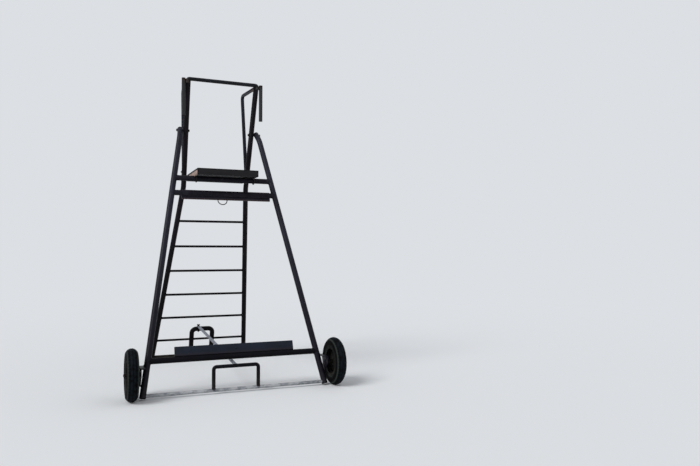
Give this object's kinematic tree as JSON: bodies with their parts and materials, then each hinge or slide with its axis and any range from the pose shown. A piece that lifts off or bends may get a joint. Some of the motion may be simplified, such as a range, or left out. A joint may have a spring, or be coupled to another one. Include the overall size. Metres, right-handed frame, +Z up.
{
  "type": "mobile lifeguard tower",
  "caption": "Open A-frame lifeguard chair of welded steel tube with a ladder, a small high seat inside a guard rail and a pair of barrow wheels under the front frame.",
  "frame": {"origin": "on the ground, at the middle of the footprint of wheels and ladder feet", "axes": "+X to the right as seen from the wheel side, +Y from the wheels towards the ladder, +Z up"},
  "size_m": [1.779, 2.0999, 2.7213],
  "materials": {
    "frame_paint": "weathered blue-grey paint",
    "ladder_paint": "weathered near-black paint",
    "galvanised": "dull zinc",
    "fasteners": "dark weathered steel",
    "seat_timber": "pale weathered timber",
    "seat_paint": "dark painted timber",
    "board_paint": "slate-blue painted timber",
    "tyre": "matt dusty rubber",
    "rim_paint": "dark worn paint"
  },
  "bodies": {
    "frame": {"left_front_leg": "frame_paint", "right_front_leg": "frame_paint", "seat_crossbar": "frame_paint", "upper_crossbar": "frame_paint", "lower_crossbar": "frame_paint", "bottom_bar": "galvanised", "left_upright": "ladder_paint", "right_upright": "ladder_paint", "rung_1": "ladder_paint", "rung_2": "ladder_paint", "rung_3": "ladder_paint", "rung_4": "ladder_paint", "rung_5": "ladder_paint", "rung_6": "ladder_paint", "rung_7": "ladder_paint", "foot_bar": "ladder_paint", "foot_plates": "ladder_paint", "left_pivot_bolt": "fasteners", "right_pivot_bolt": "fasteners", "top_hoop": "frame_paint", "left_side_rail": "ladder_paint", "right_side_rail": "ladder_paint", "seat_boards": "seat_timber", "seat_front_board": "seat_paint", "seat_back_board": "seat_paint", "seat_left_board": "seat_timber", "seat_right_board": "seat_timber", "seat_rail": "ladder_paint", "seat_hooks": "fasteners", "upper_board": "board_paint", "lower_board": "board_paint", "board_lugs": "frame_paint", "hanging_loop": "fasteners", "front_hoop": "frame_paint", "rear_hoop": "ladder_paint", "strut": "galvanised", "strut_bolt": "fasteners", "left_axle_plate": "frame_paint", "right_axle_plate": "frame_paint", "left_axle": "fasteners", "right_axle": "fasteners"},
    "left_wheel": {"left_tyre": "tyre", "left_rim": "rim_paint"},
    "right_wheel": {"right_tyre": "tyre", "right_rim": "rim_paint"}
  },
  "joints": [
    {"name": "left_wheel_spin", "type": "hinge", "parent": "frame", "child": "left_wheel", "pos_m": [-0.83, -0.848, 0.202], "axis": [1, 0, 0], "continuous": true},
    {"name": "right_wheel_spin", "type": "hinge", "parent": "frame", "child": "right_wheel", "pos_m": [0.83, -0.848, 0.202], "axis": [1, 0, 0], "continuous": true}
  ]
}
